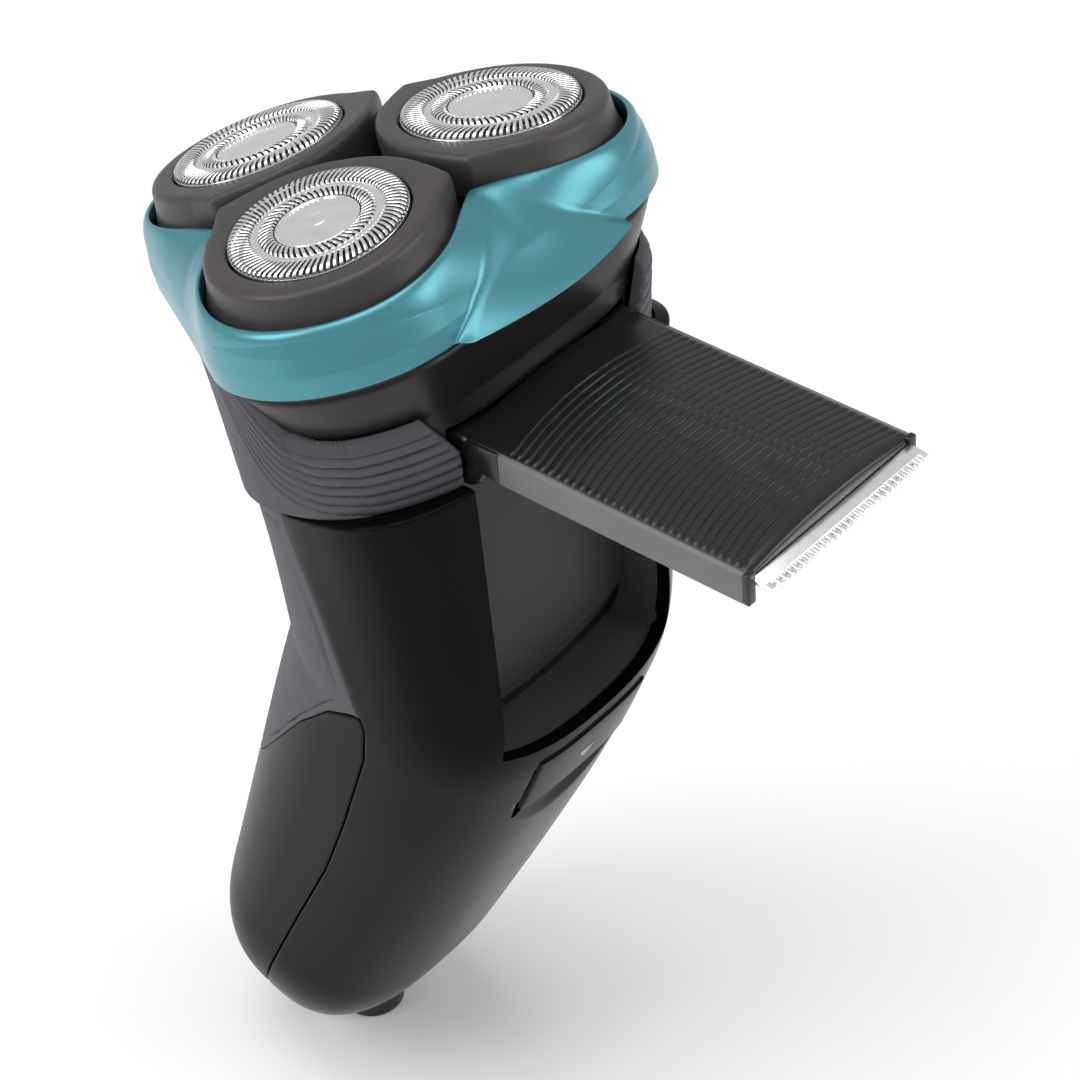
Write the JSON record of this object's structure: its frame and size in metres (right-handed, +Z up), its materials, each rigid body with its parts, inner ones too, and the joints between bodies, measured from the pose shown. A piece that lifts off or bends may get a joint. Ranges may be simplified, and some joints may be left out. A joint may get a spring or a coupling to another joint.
{
  "type": "electric shaver",
  "caption": "Rotary electric shaver with floating cutting units in a lift-off head, a fold-out hair trimmer, a curved grip handle and a charging socket in the foot.",
  "frame": {"origin": "centre of the charging socket mouth, in the bottom face of the boss at the foot of the handle", "axes": "+Z up along the upper handle, towards the head; +Y to the back (trimmer side); +X to the right seen from the front"},
  "size_m": [0.0707, 0.1142, 0.1753],
  "materials": {
    "back_shell": "gloss black moulded plastic",
    "front_shell": "gloss black moulded plastic",
    "side_grip": "matt dark grey soft grip",
    "front_panel": "piano black panel",
    "indicator_lens": "smoked indicator window",
    "grip_collar": "matt dark grey soft grip",
    "neck_cup": "satin charcoal plastic",
    "trimmer_bay": "flat dark grey",
    "charge_boss": "black socket boss",
    "charge_contacts": "plated contact pins",
    "battery_cell": "plain wrapped cell",
    "cell_cradle": "moulded cradle",
    "circuit_board": "circuit board",
    "tact_switch": "tact switch",
    "power_button": "satin black button",
    "trimmer_release": "gloss black release",
    "gear_deck": "moulded gear case",
    "gear_case": "moulded gear case",
    "motor_can": "plated motor can",
    "motor_cap": "motor end cap",
    "rotor_shaft": "steel pin",
    "motor_pinion": "natural nylon",
    "head_ring": "metallic satin teal lacquer",
    "head_frame": "moulded gear case",
    "hinge_pin": "steel pin",
    "trimmer_frame": "flat grey side walls",
    "trimmer_cover": "gloss black ribbed cover",
    "trimmer_comb": "bright comb",
    "trimmer_cutter": "bright comb",
    "drive_gear_1": "natural nylon",
    "cutter_pod_1": "satin charcoal plastic",
    "foil_1": "bright pressed steel",
    "foil_cap_1": "polished steel disc",
    "cutter_1": "ground steel blades",
    "drive_gear_2": "natural nylon",
    "cutter_pod_2": "satin charcoal plastic",
    "foil_2": "bright pressed steel",
    "foil_cap_2": "polished steel disc",
    "cutter_2": "ground steel blades",
    "drive_gear_3": "natural nylon",
    "cutter_pod_3": "satin charcoal plastic",
    "foil_3": "bright pressed steel",
    "foil_cap_3": "polished steel disc",
    "cutter_3": "ground steel blades"
  },
  "bodies": {
    "handle": {"back_shell": "back_shell", "front_shell": "front_shell", "side_grip": "side_grip", "front_panel": "front_panel", "indicator_lens": "indicator_lens", "grip_collar": "grip_collar", "neck_cup": "neck_cup", "trimmer_bay": "trimmer_bay", "charge_boss": "charge_boss", "charge_contacts": "charge_contacts", "battery_cell": "battery_cell", "cell_cradle": "cell_cradle", "circuit_board": "circuit_board", "tact_switch": "tact_switch", "gear_deck": "gear_deck", "gear_case": "gear_case", "motor_can": "motor_can", "motor_cap": "motor_cap", "hinge_pin": "hinge_pin"},
    "button": {"power_button": "power_button"},
    "release": {"trimmer_release": "trimmer_release"},
    "rotor": {"rotor_shaft": "rotor_shaft", "motor_pinion": "motor_pinion"},
    "head": {"head_ring": "head_ring", "head_frame": "head_frame"},
    "trimmer": {"trimmer_frame": "trimmer_frame", "trimmer_cover": "trimmer_cover", "trimmer_comb": "trimmer_comb"},
    "trimmer_blade": {"trimmer_cutter": "trimmer_cutter"},
    "gear_1": {"drive_gear_1": "drive_gear_1"},
    "pod_1": {"cutter_pod_1": "cutter_pod_1"},
    "foil_unit_1": {"foil_1": "foil_1", "foil_cap_1": "foil_cap_1"},
    "cutter_body_1": {"cutter_1": "cutter_1"},
    "gear_2": {"drive_gear_2": "drive_gear_2"},
    "pod_2": {"cutter_pod_2": "cutter_pod_2"},
    "foil_unit_2": {"foil_2": "foil_2", "foil_cap_2": "foil_cap_2"},
    "cutter_body_2": {"cutter_2": "cutter_2"},
    "gear_3": {"drive_gear_3": "drive_gear_3"},
    "pod_3": {"cutter_pod_3": "cutter_pod_3"},
    "foil_unit_3": {"foil_3": "foil_3", "foil_cap_3": "foil_cap_3"},
    "cutter_body_3": {"cutter_3": "cutter_3"}
  },
  "joints": [
    {"name": "button_press", "type": "slide", "parent": "handle", "child": "button", "axis": [0, 1, 0], "range_m": [0, 0.0008], "stiffness_N_per_m": 500, "springref_m": -0.001},
    {"name": "release_slide", "type": "slide", "parent": "handle", "child": "release", "axis": [0, -0.4083, -0.9128], "range_m": [0, 0.002], "stiffness_N_per_m": 300, "springref_m": -0.001},
    {"name": "motor_spin", "type": "hinge", "parent": "handle", "child": "rotor", "pos_m": [0, 0.0175, 0.1695], "axis": [0, -0.2672, 0.9636], "continuous": true},
    {"name": "head_lift", "type": "slide", "parent": "handle", "child": "head", "axis": [0, -0.2672, 0.9636], "range_m": [0, 0.03]},
    {"name": "trimmer_fold", "type": "hinge", "parent": "handle", "child": "trimmer", "pos_m": [0, 0.048, 0.1445], "axis": [1, 0, 0], "range_deg": [-90, 0]},
    {"name": "blade_stroke", "type": "slide", "parent": "trimmer", "child": "trimmer_blade", "axis": [1, 0, 0], "range_m": [-0.0007, 0.0007]},
    {"name": "gear_spin_1", "type": "hinge", "parent": "handle", "child": "gear_1", "pos_m": [0.01607, 0.02644, 0.17198], "axis": [0, -0.2672, 0.9636], "continuous": true},
    {"name": "pod_tilt_1", "type": "hinge", "parent": "head", "child": "pod_1", "pos_m": [0.01554, 0.02843, 0.16367], "axis": [-0.5, 0.8345, 0.2314], "range_deg": [-2, 2], "stiffness_Nm_per_rad": 0.05},
    {"name": "foil_float_1", "type": "slide", "parent": "pod_1", "child": "foil_unit_1", "axis": [-0.1043, 0.2072, -0.9727], "range_m": [0, 0.0008], "stiffness_N_per_m": 300, "springref_m": -0.001},
    {"name": "cutter_spin_1", "type": "hinge", "parent": "foil_unit_1", "child": "cutter_body_1", "pos_m": [0.01644, 0.02664, 0.17204], "axis": [0.1043, -0.2072, 0.9727], "continuous": true},
    {"name": "gear_spin_2", "type": "hinge", "parent": "handle", "child": "gear_2", "pos_m": [-0.01607, 0.02644, 0.17198], "axis": [0, -0.2672, 0.9636], "continuous": true},
    {"name": "pod_tilt_2", "type": "hinge", "parent": "head", "child": "pod_2", "pos_m": [-0.01554, 0.02843, 0.16367], "axis": [-0.5, -0.8345, -0.2314], "range_deg": [-2, 2], "stiffness_Nm_per_rad": 0.05},
    {"name": "foil_float_2", "type": "slide", "parent": "pod_2", "child": "foil_unit_2", "axis": [0.1043, 0.2072, -0.9727], "range_m": [0, 0.0008], "stiffness_N_per_m": 300, "springref_m": -0.001},
    {"name": "cutter_spin_2", "type": "hinge", "parent": "foil_unit_2", "child": "cutter_body_2", "pos_m": [-0.01644, 0.02664, 0.17204], "axis": [-0.1043, -0.2072, 0.9727], "continuous": true},
    {"name": "gear_spin_3", "type": "hinge", "parent": "handle", "child": "gear_3", "pos_m": [0, -0.00038, 0.16454], "axis": [0, -0.2672, 0.9636], "continuous": true},
    {"name": "pod_tilt_3", "type": "hinge", "parent": "head", "child": "pod_3", "pos_m": [0, 0.00249, 0.15648], "axis": [1, 0, 0], "range_deg": [-2, 2], "stiffness_Nm_per_rad": 0.05},
    {"name": "foil_float_3", "type": "slide", "parent": "pod_3", "child": "foil_unit_3", "axis": [0, 0.3814, -0.9244], "range_m": [0, 0.0008], "stiffness_N_per_m": 300, "springref_m": -0.001},
    {"name": "cutter_spin_3", "type": "hinge", "parent": "foil_unit_3", "child": "cutter_body_3", "pos_m": [0, -0.00079, 0.16443], "axis": [0, -0.3814, 0.9244], "continuous": true}
  ],
  "couplings": [
    {"joint": "gear_spin_1", "follows": "motor_spin", "ratio": -0.625},
    {"joint": "cutter_spin_1", "follows": "motor_spin", "ratio": -0.625},
    {"joint": "gear_spin_2", "follows": "motor_spin", "ratio": -0.625},
    {"joint": "cutter_spin_2", "follows": "motor_spin", "ratio": -0.625},
    {"joint": "gear_spin_3", "follows": "motor_spin", "ratio": -0.625},
    {"joint": "cutter_spin_3", "follows": "motor_spin", "ratio": -0.625}
  ]
}
